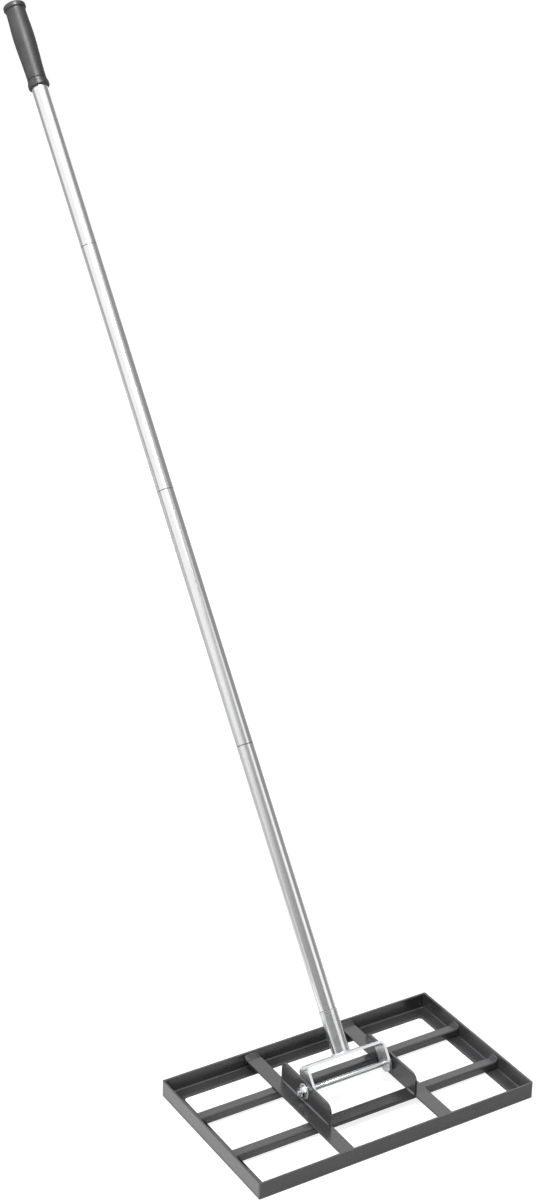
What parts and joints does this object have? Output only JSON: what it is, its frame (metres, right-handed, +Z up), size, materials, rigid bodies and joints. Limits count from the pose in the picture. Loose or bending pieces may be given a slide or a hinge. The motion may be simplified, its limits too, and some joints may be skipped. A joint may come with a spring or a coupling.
{
  "type": "lawn leveling rake",
  "caption": "Lawn leveling rake: flat open grid frame of angle rails and bars, with a long sectional tube handle on a yoke that swings front to back on a pivot bolt.",
  "frame": {"origin": "middle of the ground frame, on the ground plane", "axes": "+X across the frame to the right, +Y to the back where the handle leans, +Z up"},
  "size_m": [0.432, 1.1077, 1.3283],
  "materials": {
    "frame_paint": "satin black powder coat",
    "zinc_plate": "bright zinc plating",
    "galvanised_tube": "galvanised, matt, with a faint spangle",
    "handle_steel": "polished bright tube",
    "insert_alloy": "turned, plain",
    "grip_rubber": "matt, fine grain"
  },
  "bodies": {
    "ground_frame": {"front_rail": "frame_paint", "back_rail": "frame_paint", "left_rail": "frame_paint", "right_rail": "frame_paint", "front_cross_bar": "frame_paint", "rear_cross_bar": "frame_paint", "left_long_bar": "frame_paint", "right_long_bar": "frame_paint", "front_tie_strip": "frame_paint", "left_pivot_plate": "frame_paint", "right_pivot_plate": "frame_paint", "pivot_bolt": "zinc_plate", "nut_washer": "zinc_plate", "pivot_nut": "zinc_plate"},
    "handle": {"yoke": "zinc_plate", "socket_tube": "galvanised_tube", "socket_insert": "insert_alloy", "handle_section_1": "handle_steel", "handle_section_2": "handle_steel", "handle_section_3": "handle_steel", "handle_section_4": "handle_steel", "joint_stud_1": "insert_alloy", "joint_stud_2": "insert_alloy", "joint_stud_3": "insert_alloy", "joint_stud_4": "insert_alloy", "joint_insert_1": "insert_alloy", "joint_insert_2": "insert_alloy", "joint_insert_3": "insert_alloy", "grip": "grip_rubber"}
  },
  "joints": [
    {"name": "handle_pivot", "type": "hinge", "parent": "ground_frame", "child": "handle", "pos_m": [0, 0, 0.034], "axis": [1, 0, 0], "range_deg": [-51.3, 125.3]}
  ]
}
